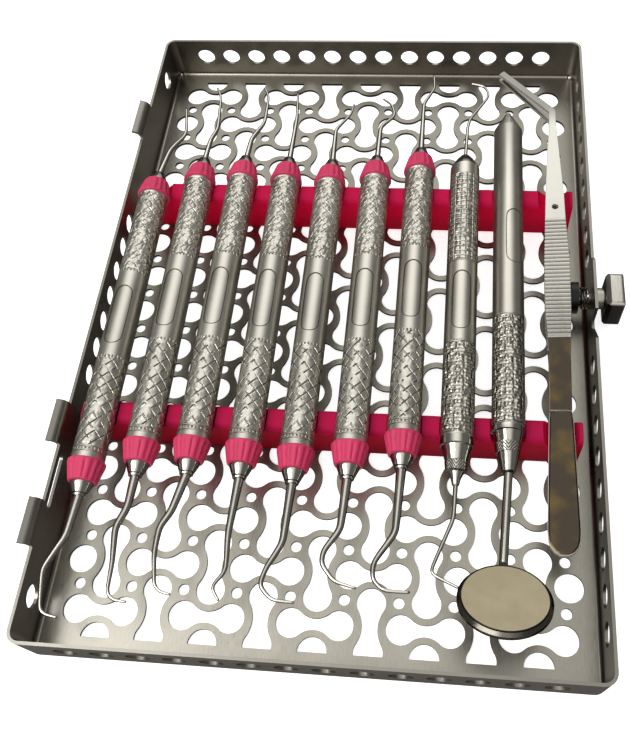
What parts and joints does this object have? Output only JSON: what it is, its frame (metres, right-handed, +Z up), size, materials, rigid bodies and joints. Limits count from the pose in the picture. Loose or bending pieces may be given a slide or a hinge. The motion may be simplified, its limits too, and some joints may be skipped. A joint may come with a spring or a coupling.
{
  "type": "dental instrument cassette",
  "caption": "Open perforated steel tray whose pink silicone rails hold double-ended scalers, an explorer, a mouth mirror and tweezers side by side, with a sprung latch knob on the right wall.",
  "frame": {"origin": "middle of the tray's underside", "axes": "+X across the instruments towards the latch, +Y along the instruments towards the rear, +Z up"},
  "size_m": [0.1504, 0.201, 0.0247],
  "materials": {
    "sheet_steel": "satin stainless sheet",
    "pink_silicone": "matte silicone",
    "grip_rubber": "matte silicone",
    "handle_steel": "satin stainless, knurled",
    "polished_steel": "polished",
    "satin_steel": "satin",
    "mirror_glass": "silvered glass",
    "black_plastic": "matte"
  },
  "bodies": {
    "tray": {"tray_floor": "sheet_steel", "front_wall": "sheet_steel", "rear_wall": "sheet_steel", "left_wall": "sheet_steel", "right_wall": "sheet_steel", "front_rail": "pink_silicone", "rear_rail": "pink_silicone", "latch_collar": "polished_steel"},
    "latch_core": {"latch_shaft": "polished_steel", "latch_disc": "black_plastic", "latch_spring": "polished_steel"},
    "latch_knob": {"latch_knob": "satin_steel"},
    "scaler_1": {"scaler_1_handle": "handle_steel", "scaler_1_rear_grip": "grip_rubber", "scaler_1_front_grip": "grip_rubber", "scaler_1_rear_tip": "polished_steel", "scaler_1_front_tip": "polished_steel"},
    "scaler_2": {"scaler_2_handle": "handle_steel", "scaler_2_rear_grip": "grip_rubber", "scaler_2_front_grip": "grip_rubber", "scaler_2_rear_tip": "polished_steel", "scaler_2_front_tip": "polished_steel"},
    "scaler_3": {"scaler_3_handle": "handle_steel", "scaler_3_rear_grip": "grip_rubber", "scaler_3_front_grip": "grip_rubber", "scaler_3_rear_tip": "polished_steel", "scaler_3_front_tip": "polished_steel"},
    "scaler_4": {"scaler_4_handle": "handle_steel", "scaler_4_rear_grip": "grip_rubber", "scaler_4_front_grip": "grip_rubber", "scaler_4_rear_tip": "polished_steel", "scaler_4_front_tip": "polished_steel"},
    "scaler_5": {"scaler_5_handle": "handle_steel", "scaler_5_rear_grip": "grip_rubber", "scaler_5_front_grip": "grip_rubber", "scaler_5_rear_tip": "polished_steel", "scaler_5_front_tip": "polished_steel"},
    "scaler_6": {"scaler_6_handle": "handle_steel", "scaler_6_rear_grip": "grip_rubber", "scaler_6_front_grip": "grip_rubber", "scaler_6_rear_tip": "polished_steel", "scaler_6_front_tip": "polished_steel"},
    "scaler_7": {"scaler_7_handle": "handle_steel", "scaler_7_rear_grip": "grip_rubber", "scaler_7_front_grip": "grip_rubber", "scaler_7_rear_tip": "polished_steel", "scaler_7_front_tip": "polished_steel"},
    "explorer": {"explorer_handle": "handle_steel", "explorer_rear_tip": "polished_steel", "explorer_front_tip": "polished_steel"},
    "mirror": {"mirror_handle": "handle_steel", "mirror_stem": "polished_steel", "mirror_cup": "polished_steel", "mirror_glass": "mirror_glass"},
    "tweezers": {"tweezer_joint": "polished_steel", "tweezer_lower_arm": "polished_steel", "tweezer_pin": "polished_steel"},
    "tweezer_arm": {"tweezer_upper_arm": "polished_steel"}
  },
  "joints": [
    {"name": "latch_pull", "type": "slide", "parent": "tray", "child": "latch_core", "axis": [1, 0, 0], "range_m": [0, 0.0012], "stiffness_N_per_m": 500, "springref_m": -0.002, "deforming": ["latch_spring"]},
    {"name": "latch_turn", "type": "hinge", "parent": "latch_core", "child": "latch_knob", "pos_m": [0.07, 0.004, 0.0088], "axis": [1, 0, 0], "range_deg": [0, 90]},
    {"name": "scaler_1_lift", "type": "slide", "parent": "tray", "child": "scaler_1", "axis": [0, 0, 1], "range_m": [0, 0.04]},
    {"name": "scaler_2_lift", "type": "slide", "parent": "tray", "child": "scaler_2", "axis": [0, 0, 1], "range_m": [0, 0.04]},
    {"name": "scaler_3_lift", "type": "slide", "parent": "tray", "child": "scaler_3", "axis": [0, 0, 1], "range_m": [0, 0.04]},
    {"name": "scaler_4_lift", "type": "slide", "parent": "tray", "child": "scaler_4", "axis": [0, 0, 1], "range_m": [0, 0.04]},
    {"name": "scaler_5_lift", "type": "slide", "parent": "tray", "child": "scaler_5", "axis": [0, 0, 1], "range_m": [0, 0.04]},
    {"name": "scaler_6_lift", "type": "slide", "parent": "tray", "child": "scaler_6", "axis": [0, 0, 1], "range_m": [0, 0.04]},
    {"name": "scaler_7_lift", "type": "slide", "parent": "tray", "child": "scaler_7", "axis": [0, 0, 1], "range_m": [0, 0.04]},
    {"name": "explorer_lift", "type": "slide", "parent": "tray", "child": "explorer", "axis": [0, 0, 1], "range_m": [0, 0.04]},
    {"name": "mirror_lift", "type": "slide", "parent": "tray", "child": "mirror", "axis": [0, 0, 1], "range_m": [0, 0.04]},
    {"name": "tweezers_lift", "type": "slide", "parent": "tray", "child": "tweezers", "axis": [0, 0, 1], "range_m": [0, 0.04]},
    {"name": "tweezer_squeeze", "type": "hinge", "parent": "tweezers", "child": "tweezer_arm", "pos_m": [0.05952, -0.03453, 0.01448], "axis": [-0.9945, 0.0036, -0.1045], "range_deg": [0, 0.5], "stiffness_Nm_per_rad": 2, "springref_deg": -0.11}
  ]
}
